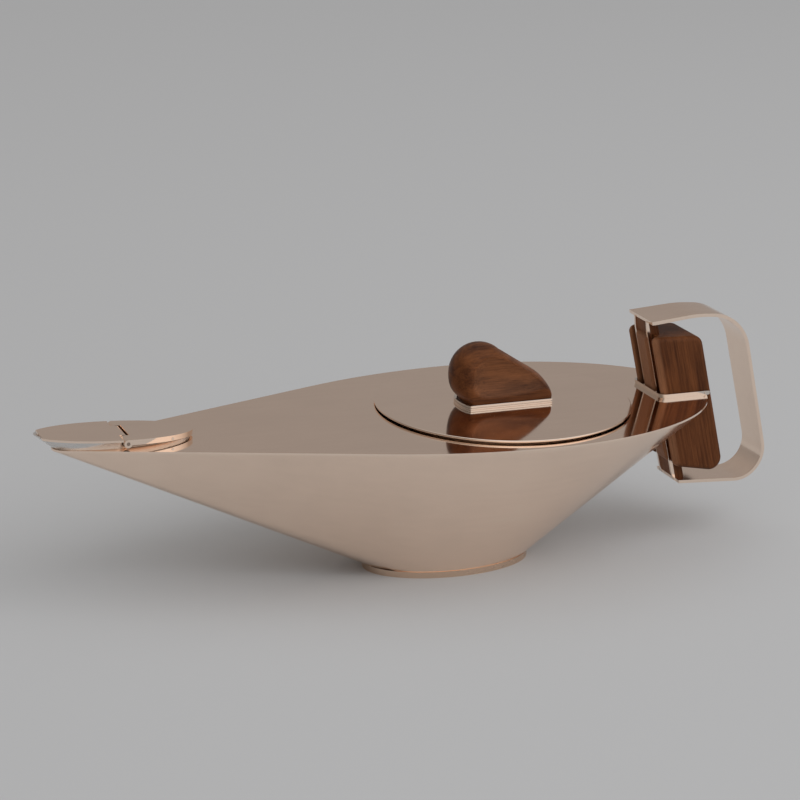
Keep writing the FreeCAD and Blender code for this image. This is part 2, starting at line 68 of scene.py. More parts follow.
# Colours, as linear values
WARM_SILVER = (0.985, 0.79, 0.65)
# Trim: the silver made darker and greyer, painted shade that dims its highlights and repeated reflections
SHADED_TRIM_SILVER = (0.76, 0.68, 0.61)
# Foot rim: the silver made darker and warmer, painted shade for the shaded floor it mirrors at the foot
SHADED_FOOT_SILVER = (0.78, 0.59, 0.455)
# Spout collar: the silver made darker and greyer, painted shade that tames its highlights
SHADED_COLLAR_SILVER = (0.80, 0.78, 0.76)
# Hinge pin: the silver at about a third of its brightness, painted shade
SHADED_PIN_SILVER = (0.34, 0.26, 0.21)
WALNUT_LIGHT = (0.215, 0.072, 0.023)
WALNUT_DARK = (0.036, 0.0095, 0.003)
# Paler walnut, towards the grip's front and in the knob's scoops, where it is painted light
WALNUT_PALE = (0.42, 0.19, 0.095)
PALE_FLOOR = (0.54, 0.54, 0.54)
FAR_ROOM = (0.314, 0.292, 0.278)
HIGH_ROOM = (0.82, 0.82, 0.82)
FRONT_ROOM = (0.84, 0.85, 0.87)
LEFT_ROOM = (0.22, 0.22, 0.22)
LAMP_WHITE = (0.98, 1.0, 1.03)

# Metal polish: noise scales per metre, and how far the marks change tone and roughness
SMEAR_SCALE = 26.0
RUB_SCALE = (28.0, 260.0, 260.0)
WAVE_SCALE = 14.0
WAVE_DEPTH = 0.001
RUB_SHARE = 0.6
MARK_TONE = 0.05
MARK_ROUGHNESS = 0.3

# Walnut: noise scales per metre along and across the grain, the part of each noise used and what it adds
GRAIN_BANDS = (16.0, 170.0)
GRAIN_STREAKS = (30.0, 1100.0)
GRAIN_PORES = (150.0, 3200.0)
GRAIN_DRIFT = (35.0, 55.0)
NOISE_USED = (0.3, 0.7)
BANDS_USED = (0.36, 0.64)
STREAKS_USED = (0.32, 0.68)
PORES_USED = (0.3, 0.5)
BANDS_ADD = 0.33
DRIFT_ADDS = 0.28
STREAKS_GIVE = (0.31, 0.63)
PORE_SHADE = 0.7
PORE_ROUGHNESS = 0.12
PORE_BUMP = 0.15
PORE_DEPTH = 0.0003
PALE_GRAIN_DARK = 0.55

# Mesh work: angles, and lengths in mm
CRISP_ANGLE = math.radians(40)
FLAT_ANGLE = math.radians(0.3)
SAME_POINT = 0.005
EDGE_EASE = 0.3
EASE_STEPS = 2

# Pot wall in mm, as in the CAD
WALL_TOP = 79.0
WALL_FOOT = 3.2
WALL_THICKNESS = 1.8
LID_OFFSET = 29.0
REAR_REACH = 110.5
HALF_WIDTH = 71.5
SPOUT_REACH = 203.5
SHOULDER_RADIUS = 250.0
TIP_RADIUS = 7.0
SIDE_FAN = math.radians(0.8)
FOOT_HALF_LENGTH = 44.0
FOOT_HALF_WIDTH = 25.0
WALL_ROWS = 24
WALL_STEPS = (44, 22, 30, 30, 30, 22, 44)

# Slot for the handle's socket in mm, at deck level
SLOT_FRONT = 110.7
SLOT_HALF_WIDTH = 16.3
SLOT_CORNER = 3.9
SLOT_CORNER_STEPS = 12
GRIP_LEAN = math.radians(13.5)
SLOT_LEAN = math.tan(GRIP_LEAN)
DECK_LEVEL = 80.0

# Wood added to the grip's ends in mm, at its front and at its rear, and how much of each end moves
GRIP_TOP_ADDED = (0.0, 1.3)
GRIP_FOOT_ADDED = (2.4, 1.2)
GRIP_END = 12.0

# Turn of the grain, and where the grip's paler wood starts and is full, in m across its grain
KNOB_GRAIN = (0.0, 0.0, 0.0)
GRIP_GRAIN = (0.0, GRIP_LEAN - math.pi / 2, 0.0)
GRIP_PALE_EDGE = (0.1315, 0.1277)

# Strap legs and the grip's tenons in mm, their outlines seen from the side; x is taken at deck level
LEG_SIDES = (5.8, 11.6)
LEG_MATCH = 0.05
LEG_CORE = (6.0, 6.8)
LEG_PLATE = (5.8, 7.2)
LEG_OUTLINE = ((113.8, 118.6), (114.8, 118.9), (114.8, 32.3), (114.2, 32.3), (113.6, 33.4), (113.1, 36.0),
               (113.1, 113.0))
TENON_HALF_WIDTH = 7.0
TENON_TOP = ((114.3, 118.9), (119.8, 119.9), (119.8, 109.0), (114.3, 109.0))
TENON_FOOT = ((114.3, 48.0), (119.8, 48.0), (119.8, 32.0), (114.3, 32.5))

# Bend at the strap's lower front in mm, and the levels of the plain edge that takes its place, inside first
BEND_CENTRE = (118.7, 35.6)
BEND_RADII = (2.75, 4.5)
BEND_MATCH = 0.1
EDGE_LEVELS = (32.8, 31.1)
EDGE_RISE = 0.065

# Knob in mm, from the middle of its seat: a round bulb in front and a back that falls to the tail
KNOB_FOOT = 81.9
KNOB_SEAT = 84.0
KNOB_LEDGE = 0.7
KNOB_MIDDLE = 27.0
KNOB_HEIGHT = 29.6
KNOB_NECK = -20.6
KNOB_REAR = 25.3
BULB_RADIUS = 15.3
BULB_CENTRE = (-11.9, 14.3)
BULB_CURL = 2.2
BULB_FULLNESS = 2.25
KNOB_BACK = ((9.6, 18.5), (19.8, 11.8), (25.1, 5.3), (KNOB_REAR, 0.0))
KNOB_BACK_START = 10.2
KNOB_BACK_STEPS = 16
KNOB_HALF_WIDTH = 12.9
KNOB_WIDEST = 12.5
KNOB_FULLNESS = 2.2
KNOB_ROUND_ABOVE = 13.0
KNOB_ROWS = 80
LOOP_END_STEPS = 32
LOOP_SIDE_STEPS = 40
SCOOP_FLOOR = 7.8
SCOOP_PLACE = (-9.5, 14.6)
SCOOP_FRONT_RADIUS = 13.0
SCOOP_REAR_RADIUS = 150.0
SCOOP_HOLLOW = 22.0
SCOOP_FALL = math.radians(4.0)
SCOOP_SOFTNESS = 0.2
# Depth of the scoop at which the wood's painted light is full: the scoops are painted paler for the light
# on their inner walls
SCOOP_PAINTED_LIGHT_DEPTH = 1.2

# Band round the knob's foot in mm: two beads with a groove between them; its pin moves with its rear end
BAND_FRONT = -21.4
BAND_REAR = 24.3
BAND_HALF_WIDTH = 9.4
BAND_BOW = 3.4
BAND_REAR_BOW = 0.8
PIN_SHIFT = -3.42
BAND_PROFILE = ((0.0, 0.0), (1.1, 0.0), (1.2, 0.1), (1.2, 0.8), (0.8, 0.9), (0.8, 1.2), (1.2, 1.3),
                (1.2, 2.0), (1.1, 2.1), (0.0, 2.1))

# Studio in m: floor, directions in which the room's tones change over, and the soft box
FLOOR_RADIUS = 8.0
FLOOR_SIDES = 96
FLOOR_ROUGHNESS = 0.9
FRONT_CHANGE = (0.1, -0.6)
LEFT_CHANGE = (-0.35, -0.8)
HIGH_CHANGE = (0.62, 0.95)
KEY_PLACE = (1.4, -1.6, 2.2)
KEY_WIDTH = 3.2
KEY_HEIGHT = 2.6
KEY_RADIANCE = 1.35

# Camera, as fitted to the photograph
CAMERA_PLACE = Vector((-0.4696, -1.0984, 0.4561))
CAMERA_AZIMUTH = math.radians(-21.9559)
CAMERA_ELEVATION = math.radians(17.2982)
CAMERA_ROLL = math.radians(1.4264)
LENS = 112.5
SENSOR = 36.0


def linked(obj):
    """Puts an object into the scene."""
    bpy.context.scene.collection.objects.link(obj)
    return obj


def new_group(name, inputs, outputs):
    """Empty shader group with named sockets, and its input and output nodes."""
    tree = bpy.data.node_groups.new(name, "ShaderNodeTree")
    for socket, kind, value in inputs:
        made = tree.interface.new_socket(socket, in_out="INPUT", socket_type=kind)
        if value is not None:
            made.default_value = value
    for socket, kind in outputs:
        tree.interface.new_socket(socket, in_out="OUTPUT", socket_type=kind)
    return tree, tree.nodes.new("NodeGroupInput"), tree.nodes.new("NodeGroupOutput")


def add(tree, kind, **values):
    """New node; a value goes to the input of that name, or else to the property of that name."""
    node = tree.nodes.new(kind)
    for key, value in values.items():
        label = key.replace("_", " ").title()
        if label in node.inputs:
            node.inputs[label].default_value = value
        else:
            setattr(node, key, value)
    return node


def math_node(tree, operation, first, second):
    """Math node between two sockets or numbers."""
    node = tree.nodes.new("ShaderNodeMath")
    node.operation = operation
    for socket, value in zip(node.inputs, (first, second)):
        if isinstance(value, (int, float)):
            socket.default_value = value
        else:
            tree.links.new(value, socket)
    return node.outputs[0]


def remap(tree, value, low, high, to_low, to_high, clamp=True):
    """Spreads a value from one range to another."""
    node = tree.nodes.new("ShaderNodeMapRange")
    node.clamp = clamp
    node.inputs["From Min"].default_value = low
    node.inputs["From Max"].default_value = high
    node.inputs["To Min"].default_value = to_low
    node.inputs["To Max"].default_value = to_high
    tree.links.new(value, node.inputs["Value"])
    return node.outputs["Result"]


def colour_mix(tree, share, first, second):
    """Mixes two colours, given as sockets or values, by a share socket."""
    node = add(tree, "ShaderNodeMix", data_type="RGBA")
    tree.links.new(share, node.inputs["Factor"])
    for socket, value in (("A", first), ("B", second)):
        if isinstance(value, tuple):
            node.inputs[socket].default_value = (*value, 1)
        else:
            tree.links.new(value, node.inputs[socket])
    return node.outputs["Result"]


def polish_group():
    """Hand-polished metal: broad cloudy smears, fine rubbing marks and a slight waviness."""
    tree, given, put = new_group("hand_polish", [
        ("Vector", "NodeSocketVector", None),
        ("Tone", "NodeSocketColor", (0.9, 0.9, 0.9, 1)),
        ("Base Roughness", "NodeSocketFloat", 0.1),
        ("Marks", "NodeSocketFloat", 0.5)], [
        ("Color", "NodeSocketColor"), ("Roughness", "NodeSocketFloat"), ("Height", "NodeSocketFloat")])
    smear = add(tree, "ShaderNodeTexNoise", scale=SMEAR_SCALE, detail=3.0, roughness=0.55)
    stretch = add(tree, "ShaderNodeMapping")
    stretch.inputs["Scale"].default_value = RUB_SCALE
    rub = add(tree, "ShaderNodeTexNoise", scale=1.0, detail=2.0, roughness=0.5)
    wave = add(tree, "ShaderNodeTexNoise", scale=WAVE_SCALE, detail=1.0)
    for texture in (smear, wave):
        tree.links.new(given.outputs["Vector"], texture.inputs["Vector"])
    tree.links.new(given.outputs["Vector"], stretch.inputs["Vector"])
    tree.links.new(stretch.outputs["Vector"], rub.inputs["Vector"])
    cloud = remap(tree, smear.outputs["Fac"], *NOISE_USED, -0.5, 0.5, clamp=False)
    lines = remap(tree, rub.outputs["Fac"], *NOISE_USED, -0.5, 0.5, clamp=False)
    both = math_node(tree, "ADD", cloud, math_node(tree, "MULTIPLY", lines, RUB_SHARE))
    marked = math_node(tree, "MULTIPLY", both, given.outputs["Marks"])
    shade = math_node(tree, "ADD", math_node(tree, "MULTIPLY", marked, MARK_TONE), 1.0)
    colour = add(tree, "ShaderNodeMix", data_type="RGBA", blend_type="MULTIPLY")
    colour.inputs["Factor"].default_value = 1.0
    tree.links.new(given.outputs["Tone"], colour.inputs["A"])
    tree.links.new(shade, colour.inputs["B"])
    uneven = math_node(tree, "ADD", math_node(tree, "MULTIPLY", marked, MARK_ROUGHNESS), 1.0)
    rough = math_node(tree, "MULTIPLY", given.outputs["Base Roughness"], uneven)
    tree.links.new(colour.outputs["Result"], put.inputs["Color"])
    tree.links.new(rough, put.inputs["Roughness"])
    tree.links.new(wave.outputs["Fac"], put.inputs["Height"])
    return tree


def walnut_group():
    """Walnut: bands, fine streaks and pores along the grain, a slow drift of tone, and a paler tone by a
    given share, which in the knob's scoops is painted light.
    """
    tree, given, put = new_group("walnut_grain", [
        ("Vector", "NodeSocketVector", None),
        ("Light", "NodeSocketColor", (*WALNUT_LIGHT, 1)),
        ("Dark", "NodeSocketColor", (*WALNUT_DARK, 1)),
        # Share of the paler wood; in the knob's scoops it is painted light
        ("Paling", "NodeSocketFloat", 0.0),
        ("Figure", "NodeSocketFloat", 1.0),
        ("Base Roughness", "NodeSocketFloat", 0.4)], [
        ("Color", "NodeSocketColor"), ("Roughness", "NodeSocketFloat"), ("Height", "NodeSocketFloat")])

    def along_grain(length_scale, width_scale, **values):
        stretch = add(tree, "ShaderNodeMapping")
        stretch.inputs["Scale"].default_value = (length_scale, width_scale, width_scale)
        noise = add(tree, "ShaderNodeTexNoise", scale=1.0, **values)
        tree.links.new(given.outputs["Vector"], stretch.inputs["Vector"])
        tree.links.new(stretch.outputs["Vector"], noise.inputs["Vector"])
        return noise.outputs["Fac"]

    bands = along_grain(*GRAIN_BANDS, detail=4.0, roughness=0.5, distortion=0.5)
    streaks = along_grain(*GRAIN_STREAKS, detail=3.0, roughness=0.6)
    pores = along_grain(*GRAIN_PORES, detail=2.0, roughness=0.6)
    drift = along_grain(*GRAIN_DRIFT, detail=2.0)
    figure = math_node(tree, "ADD", remap(tree, bands, *BANDS_USED, -BANDS_ADD, BANDS_ADD),
                       remap(tree, drift, *NOISE_USED, -DRIFT_ADDS, DRIFT_ADDS))
    share = math_node(tree, "ADD", remap(tree, streaks, *STREAKS_USED, *STREAKS_GIVE),
                      math_node(tree, "MULTIPLY", figure, given.outputs["Figure"]))
    pore_mask = remap(tree, pores, *PORES_USED, 0.0, 1.0)
    colour = colour_mix(tree, share, given.outputs["Dark"], given.outputs["Light"])
    # Paler wood; in the knob's scoops this is painted light
    pale_colour = colour_mix(tree, share, tuple(PALE_GRAIN_DARK * value for value in WALNUT_PALE), WALNUT_PALE)
    colour = colour_mix(tree, given.outputs["Paling"], colour, pale_colour)
    porous = add(tree, "ShaderNodeMix", data_type="RGBA", blend_type="MULTIPLY")
    porous.inputs["Factor"].default_value = 1.0
    tree.links.new(colour, porous.inputs["A"])
    tree.links.new(remap(tree, pore_mask, 0.0, 1.0, PORE_SHADE, 1.0), porous.inputs["B"])
    rough = math_node(tree, "ADD", given.outputs["Base Roughness"],
                      remap(tree, pore_mask, 0.0, 1.0, PORE_ROUGHNESS, 0.0))
    tree.links.new(porous.outputs["Result"], put.inputs["Color"])
    tree.links.new(rough, put.inputs["Roughness"])
    tree.links.new(pore_mask, put.inputs["Height"])
    return tree


HAND_POLISH = polish_group()
WALNUT_GRAIN = walnut_group()


def new_material(name):
    """New material with its node tree and its shader."""
    material = bpy.data.materials.new(name)
    material.use_nodes = True
    tree = material.node_tree
    return material, tree, tree.nodes["Principled BSDF"]


def silver(name, tone, roughness, marks, waviness):
    """Silver of a given tone with its own polish."""
    material, tree, shader = new_material(name)
    place = tree.nodes.new("ShaderNodeTexCoord")
    polish = add(tree, "ShaderNodeGroup", node_tree=HAND_POLISH)
    polish.inputs["Tone"].default_value = (*tone, 1)
    polish.inputs["Base Roughness"].default_value = roughness
    polish.inputs["Marks"].default_value = marks
    bump = add(tree, "ShaderNodeBump", strength=waviness, distance=WAVE_DEPTH)
    shader.inputs["Metallic"].default_value = 1.0
    tree.links.new(place.outputs["Object"], polish.inputs["Vector"])
    tree.links.new(polish.outputs["Color"], shader.inputs["Base Color"])
    tree.links.new(polish.outputs["Roughness"], shader.inputs["Roughness"])
    tree.links.new(polish.outputs["Height"], bump.inputs["Height"])
    tree.links.new(bump.outputs["Normal"], shader.inputs["Normal"])
    return material


def walnut(name, along, figure, gloss, roughness, pale_edge=None, painted_light_share=None):
    """Oiled walnut with its grain turned, paler past an edge across the grain, and paler in the knob's
    scoops as painted light.
    """
    material, tree, shader = new_material(name)
    place = tree.nodes.new("ShaderNodeTexCoord")
    turn = tree.nodes.new("ShaderNodeMapping")
    turn.inputs["Rotation"].default_value = along
    grain = add(tree, "ShaderNodeGroup", node_tree=WALNUT_GRAIN)
    grain.inputs["Base Roughness"].default_value = roughness
    grain.inputs["Figure"].default_value = figure
    bump = add(tree, "ShaderNodeBump", strength=PORE_BUMP, distance=PORE_DEPTH)
    shader.inputs["Specular IOR Level"].default_value = gloss
    tree.links.new(place.outputs["Object"], turn.inputs["Vector"])
    tree.links.new(turn.outputs["Vector"], grain.inputs["Vector"])
    if pale_edge:
        split = tree.nodes.new("ShaderNodeSeparateXYZ")
        tree.links.new(turn.outputs["Vector"], split.inputs["Vector"])
        tree.links.new(remap(tree, split.outputs["Z"], *pale_edge, 0.0, 1.0), grain.inputs["Paling"])
    # Painted light: the knob's wood is paler where its scoops are cut, for the light on their inner walls
    if painted_light_share:
        painted_scoop_light = add(tree, "ShaderNodeAttribute", attribute_name="painted_scoop_light")
        tree.links.new(math_node(tree, "MULTIPLY", painted_scoop_light.outputs["Fac"], painted_light_share), grain.inputs["Paling"])
    tree.links.new(grain.outputs["Color"], shader.inputs["Base Color"])
    tree.links.new(grain.outputs["Roughness"], shader.inputs["Roughness"])
    tree.links.new(grain.outputs["Height"], bump.inputs["Height"])
    tree.links.new(bump.outputs["Normal"], shader.inputs["Normal"])
    return material


# Finishes by slot, and of three pieces that have their own
FINISHES = {
    "silver_body": silver("silver_body", WARM_SILVER, roughness=0.2, marks=1.0, waviness=0.02),
    "silver_polished": silver("silver_polished", WARM_SILVER, roughness=0.08, marks=0.7, waviness=0.01),
    "silver_strap": silver("silver_strap", WARM_SILVER, roughness=0.16, marks=1.0, waviness=0.02),
    # The trim's darker, greyer silver is painted shade that dims its highlights
    "silver_trim": silver("silver_trim", SHADED_TRIM_SILVER, roughness=0.15, marks=0.8, waviness=0.01),
    "silver_inside": silver("silver_inside", WARM_SILVER, roughness=0.35, marks=1.0, waviness=0.02),
    # The foot rim's darker silver is painted shade
    "foot_rim": silver("silver_foot_painted_shade", SHADED_FOOT_SILVER, roughness=0.25, marks=1.0, waviness=0.02),
    # The spout collar's darker, greyer silver is painted shade that tames its highlights
    "spout_collar": silver("silver_collar_painted_shade", SHADED_COLLAR_SILVER, roughness=0.28, marks=1.0, waviness=0.01),
    # The hinge pin's dark silver is painted shade
    "hinge_pin": silver("silver_pin_painted_shade", SHADED_PIN_SILVER, roughness=0.35, marks=1.0, waviness=0.01),
    # The knob's scoops are painted paler, as light
    "walnut_knob": walnut("walnut_knob", KNOB_GRAIN, figure=0.75, gloss=0.14, roughness=0.36,
                          painted_light_share=0.22),
    "walnut_grip": walnut("walnut_grip", GRIP_GRAIN, figure=0.4, gloss=0.12, roughness=0.42,
                          pale_edge=GRIP_PALE_EDGE),
}


def dress_nodes():
    """Gives each CAD piece its own finish, or else that of its slot in the record."""
    for part in frame["record"]["subparts"]:
        obj = frame["nodes"][part["node"]]
        obj.data.materials.clear()
        obj.data.materials.append(FINISHES.get(part["node"], FINISHES[part["material_slot"]]))


def piece_from(name, points, faces, slot):
    """New piece from points in mm and faces, smooth with crisp corners, in the finish of a slot."""
    mesh = bpy.data.meshes.new(name)
    mesh.from_pydata([Vector(point) * MM for point in points], [], faces)
    return finished_piece(linked(bpy.data.objects.new(name, mesh)), slot)


def finished_piece(obj, slot):
    """Smooth shading with crisp corners, and the finish of a slot."""
    obj.data.shade_smooth()
    obj.data.set_sharp_from_angle(angle=CRISP_ANGLE)
    obj.data.materials.clear()
    obj.data.materials.append(FINISHES[slot])
    return obj


def settled(obj):
    """Fixes a piece's modifiers into its mesh."""
    seen = obj.evaluated_get(bpy.context.evaluated_depsgraph_get())
    mesh = bpy.data.meshes.new_from_object(seen)
    obj.modifiers.clear()
    obj.data = mesh


def stitched(rows):
    """Quads between rows of point numbers, each row a loop."""
    faces = []
    for low, high in zip(rows, rows[1:]):
        count = len(low)
        for index in range(count):
            after = (index + 1) % count
            faces.append((low[index], low[after], high[after], high[index]))
    return faces


def side_slant():
    """Slant of the straight sides, tangent to the shoulder arcs and to the tip arc."""
    run = LID_OFFSET + SPOUT_REACH - TIP_RADIUS
    rise = SHOULDER_RADIUS - HALF_WIDTH
    return math.atan2(run, rise) - math.acos((SHOULDER_RADIUS - TIP_RADIUS) / math.hypot(run, rise))


def far_half_of_top(inset):
    """The far half of the top outline as four pieces, each a function of a share from 0 to 1."""
    slant = side_slant()
    width = HALF_WIDTH - inset
    shoulder = SHOULDER_RADIUS - inset
    tip = TIP_RADIUS - inset

    def rear(t):
        turn = t * math.pi / 2
        return LID_OFFSET + (REAR_REACH - inset) * math.cos(turn), width * math.sin(turn)

    def on_shoulder(t):
        turn = t * slant
        return LID_OFFSET - shoulder * math.sin(turn), width - shoulder * (1 - math.cos(turn))

    def on_tip(t):
        turn = math.pi / 2 + slant + t * (math.pi - 2 * slant)
        return TIP_RADIUS - SPOUT_REACH + tip * math.cos(turn), tip * math.sin(turn)

    def straight(t):
        start, end = Vector(on_shoulder(1.0)), Vector(on_tip(0.0))
        return tuple(start.lerp(end, t))

    return rear, on_shoulder, straight, on_tip


def wall_lines(inset):
    """Pairs of points, on the foot and on the top, of the straight lines that make the wall."""
    rear, shoulder, straight, tip = far_half_of_top(inset)
    length = FOOT_HALF_LENGTH - inset
    width = FOOT_HALF_WIDTH - inset

    def foot_turn(slant):
        return math.atan2(width * math.cos(slant), -length * math.sin(slant))

    first = foot_turn(side_slant() - SIDE_FAN / 2)
    second = foot_turn(side_slant() + SIDE_FAN / 2)
    full = 2 * math.pi
    turns = (0, math.pi / 2, first, second, full - second, full - first, 1.5 * math.pi, full)

    def mirrored(curve):
        return lambda t: (curve(1 - t)[0], -curve(1 - t)[1])

    pieces = (rear, shoulder, straight, tip, mirrored(straight), mirrored(shoulder), mirrored(rear))
    lines = []
    for number, (piece, steps) in enumerate(zip(pieces, WALL_STEPS)):
        for step in range(steps):
            t = step / steps
            turn = turns[number] + t * (turns[number + 1] - turns[number])
            foot = Vector((length * math.cos(turn), width * math.sin(turn), WALL_FOOT))
            lines.append((foot, Vector((*piece(t), WALL_TOP))))
    return lines


def slot_cutter():
    """Leaning block with rounded front corners, for the handle's socket."""
    plan = [(SLOT_FRONT + FOOT_HALF_LENGTH + REAR_REACH, side * SLOT_HALF_WIDTH) for side in (1, -1)]
    steps = SLOT_CORNER_STEPS
    for side in (-1, 1):
        for step in range(steps + 1):
            turn = math.pi / 2 * (step if side < 0 else steps - step) / steps
            plan.append((SLOT_FRONT + SLOT_CORNER * (1 - math.sin(turn)),
                         side * (SLOT_HALF_WIDTH - SLOT_CORNER * (1 - math.cos(turn)))))
    points = []
    for z in (WALL_FOOT, DECK_LEVEL + WALL_FOOT):
        points += [(x + (DECK_LEVEL - z) * SLOT_LEAN, y, z) for x, y in plan]
    count = len(plan)
    faces = stitched([range(count), range(count, 2 * count)])
    faces += [tuple(reversed(range(count))), tuple(range(count, 2 * count))]
    mesh = bpy.data.meshes.new("slot_cutter")
    mesh.from_pydata([Vector(point) * MM for point in points], [], faces)
    return linked(bpy.data.objects.new("slot_cutter", mesh))


def pot_wall():
    """Even wall of straight lines between the oval foot and the teardrop top.

    The cut for the socket doesn't open it: the wall runs on through the wooden block.
    """
    points = []
    rows = []
    for inset, shares in ((0.0, range(WALL_ROWS + 1)), (WALL_THICKNESS, range(WALL_ROWS, -1, -1))):
        lines = wall_lines(inset)
        for share in shares:
            rows.append(range(len(points), len(points) + len(lines)))
            points += [foot.lerp(top, share / WALL_ROWS) for foot, top in lines]
    rows.append(rows[0])
    wall = piece_from("pot_wall", points, stitched(rows), "silver_body")
    cutter = slot_cutter()
    cut = wall.modifiers.new("socket_slot", "BOOLEAN")
    cut.object = cutter
    cut.solver = "EXACT"
    settled(wall)
    bpy.data.objects.remove(cutter)
    finished_piece(wall, "silver_body")
    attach(wall, "pot")
    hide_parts("body_shell")


def join_flat_faces(shape):
    """Joins faces that lie in one plane."""
    bmesh.ops.dissolve_limit(shape, angle_limit=FLAT_ANGLE, verts=shape.verts, edges=shape.edges)


def join_same_points(obj):
    """Joins points of a piece that lie in one place."""
    shape = bmesh.new()
    shape.from_mesh(obj.data)
    bmesh.ops.remove_doubles(shape, verts=shape.verts, dist=SAME_POINT * MM)
    shape.to_mesh(obj.data)
    shape.free()


def copied_shape(node):
    """Editable copy of a CAD piece's mesh, with its flat faces whole."""
    shape = bmesh.new()
    shape.from_mesh(frame["nodes"][node].data)
    bmesh.ops.remove_doubles(shape, verts=shape.verts, dist=SAME_POINT * MM)
    join_flat_faces(shape)
    return shape


def stand_in_for(node, name, shape, body, slot):
    """New piece from an edited copy, shown instead of its CAD piece; its flat faces are shaded flat."""
    mesh = bpy.data.meshes.new(name)
    shape.to_mesh(mesh)
    shape.free()
    piece = finished_piece(linked(bpy.data.objects.new(name, mesh)), slot)
    piece.modifiers.new("flat_faces", "WEIGHTED_NORMAL").keep_sharp = True
    settled(piece)
    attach(piece, body)
    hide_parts(node)


def ease_edges(shape, width):
    """Rounds a shape's sharp edges, as hand finishing leaves them."""
    sharp = [edge for edge in shape.edges if edge.is_manifold and edge.calc_face_angle() > CRISP_ANGLE]
    bmesh.ops.bevel(shape, geom=sharp, offset=width * MM, segments=EASE_STEPS, profile=0.5, affect="EDGES",
                    clamp_overlap=True)


def eased_piece(name, node, body, slot):
    """Copy of a CAD piece whose sharp edges are eased."""
    shape = copied_shape(node)
    ease_edges(shape, EDGE_EASE)
    stand_in_for(node, name, shape, body, slot)


def add_plate(shape, outline, start, end):
    """Closed plate along the handle's lean, between two places across the pot."""
    rims = []
    for across in (start, end):
        places = [Vector((x + (DECK_LEVEL - z) * SLOT_LEAN, across, z)) for x, z in outline]
        rims.append([shape.verts.new(place * MM) for place in places])
    near, far = rims
    faces = [shape.faces.new(near), shape.faces.new(far)]
    for index, vert in enumerate(near):
        after = (index + 1) % len(near)
        faces.append(shape.faces.new((vert, near[after], far[after], far[index])))
    bmesh.ops.recalc_face_normals(shape, faces=faces)


def ahead_of_bend(vert):
    """How far in mm a point of the strap lies ahead of its bend's centre, at deck level."""
    return BEND_CENTRE[0] + (DECK_LEVEL - vert.co.z / MM) * SLOT_LEAN - vert.co.x / MM


def lay_bend_flat(shape):
    """Lays the bend at the strap's lower front flat, so that its sheet ends in a plain edge."""
    for vert in shape.verts:
        z = vert.co.z / MM
        ahead = ahead_of_bend(vert)
        if ahead > 0 and z < BEND_CENTRE[1] + BEND_MATCH:
            radius = math.hypot(ahead, z - BEND_CENTRE[1])
            outside = radius > sum(BEND_RADII) / 2
            ahead *= 1.0 if outside else BEND_RADII[1] / BEND_RADII[0]
            z = EDGE_LEVELS[outside] + EDGE_RISE * ahead
            x = BEND_CENTRE[0] - ahead
            vert.co = Vector((x + (DECK_LEVEL - z) * SLOT_LEAN, vert.co.y / MM, z)) * MM


def strap_with_thin_legs():
    """Copy of the strap with thin plates on edge for its two flat legs and no bend at its lower front."""
    shape = copied_shape("handle_strap")
    lay_bend_flat(shape)
    join_flat_faces(shape)
    for vert in shape.verts:
        for old, new in zip(LEG_SIDES, LEG_CORE):
            if ahead_of_bend(vert) > 0 and abs(abs(vert.co.y) - old * MM) < LEG_MATCH * MM:
                vert.co.y = math.copysign(new * MM, vert.co.y)
    for side in (-1, 1):
        add_plate(shape, LEG_OUTLINE, side * LEG_PLATE[0], side * LEG_PLATE[1])
    stand_in_for("handle_strap", "eased_strap", shape, "pot", "silver_strap")


def seated_pin():
    """Copy of the knob's pin, seated at the rear end of the shorter band."""
    shape = copied_shape("knob_pin")
    bmesh.ops.translate(shape, verts=shape.verts, vec=Vector((PIN_SHIFT * MM, 0.0, 0.0)))
    stand_in_for("knob_pin", "seated_pin", shape, "lid", "silver_trim")


def between(ends, share):
    """Value at a share of the way from the first end to the second."""
    return ends[0] + share * (ends[1] - ends[0])


def full_grip():
    """Copy of the grip, a little longer at both ends, with a tenon at each end that reaches the strap."""
    shape = copied_shape("handle_grip")
    along = Vector((-math.sin(GRIP_LEAN), 0.0, math.cos(GRIP_LEAN)))
    across = Vector((math.cos(GRIP_LEAN), 0.0, math.sin(GRIP_LEAN)))
    heights = [vert.co.dot(along) for vert in shape.verts]
    depths = [vert.co.dot(across) for vert in shape.verts]
    low, high = min(heights), max(heights)
    front, rear = min(depths), max(depths)
    for vert, height, depth in zip(shape.verts, heights, depths):
        share = (depth - front) / (rear - front)
        if height > high - GRIP_END * MM:
            vert.co += along * MM * between(GRIP_TOP_ADDED, share)
        elif height < low + GRIP_END * MM:
            vert.co -= along * MM * between(GRIP_FOOT_ADDED, share)
    for outline in (TENON_TOP, TENON_FOOT):
        add_plate(shape, outline, -TENON_HALF_WIDTH, TENON_HALF_WIDTH)
    stand_in_for("handle_grip", "full_grip", shape, "pot", "walnut_grip")


def edited_pieces():
    """All pieces that are made from edited copies of CAD pieces."""
    strap_with_thin_legs()
    eased_piece("eased_handle_collar", "handle_collar", "pot", "silver_trim")
    eased_piece("eased_lid", "lid_disc", "lid", "silver_polished")
    seated_pin()
    full_grip()


def smooth_between(before, start, end, after, t):
    """Point on a smooth curve between start and end that heeds their neighbours."""
    result = []
    for a, b, c, d in zip(before, start, end, after):
        result.append(b + 0.5 * t * (c - a + t * (2 * a - 5 * b + 4 * c - d + t * (3 * (b - c) + d - a))))
    return result


def bulb_reach(z):
    """Half length of the bulb at a height above the seat."""
    fullness = 2.0 if z > BULB_CENTRE[1] else BULB_FULLNESS
    rise = min(abs(z - BULB_CENTRE[1]) / BULB_RADIUS, 1.0)
    return BULB_RADIUS * (1 - rise ** fullness) ** (1 / fullness)


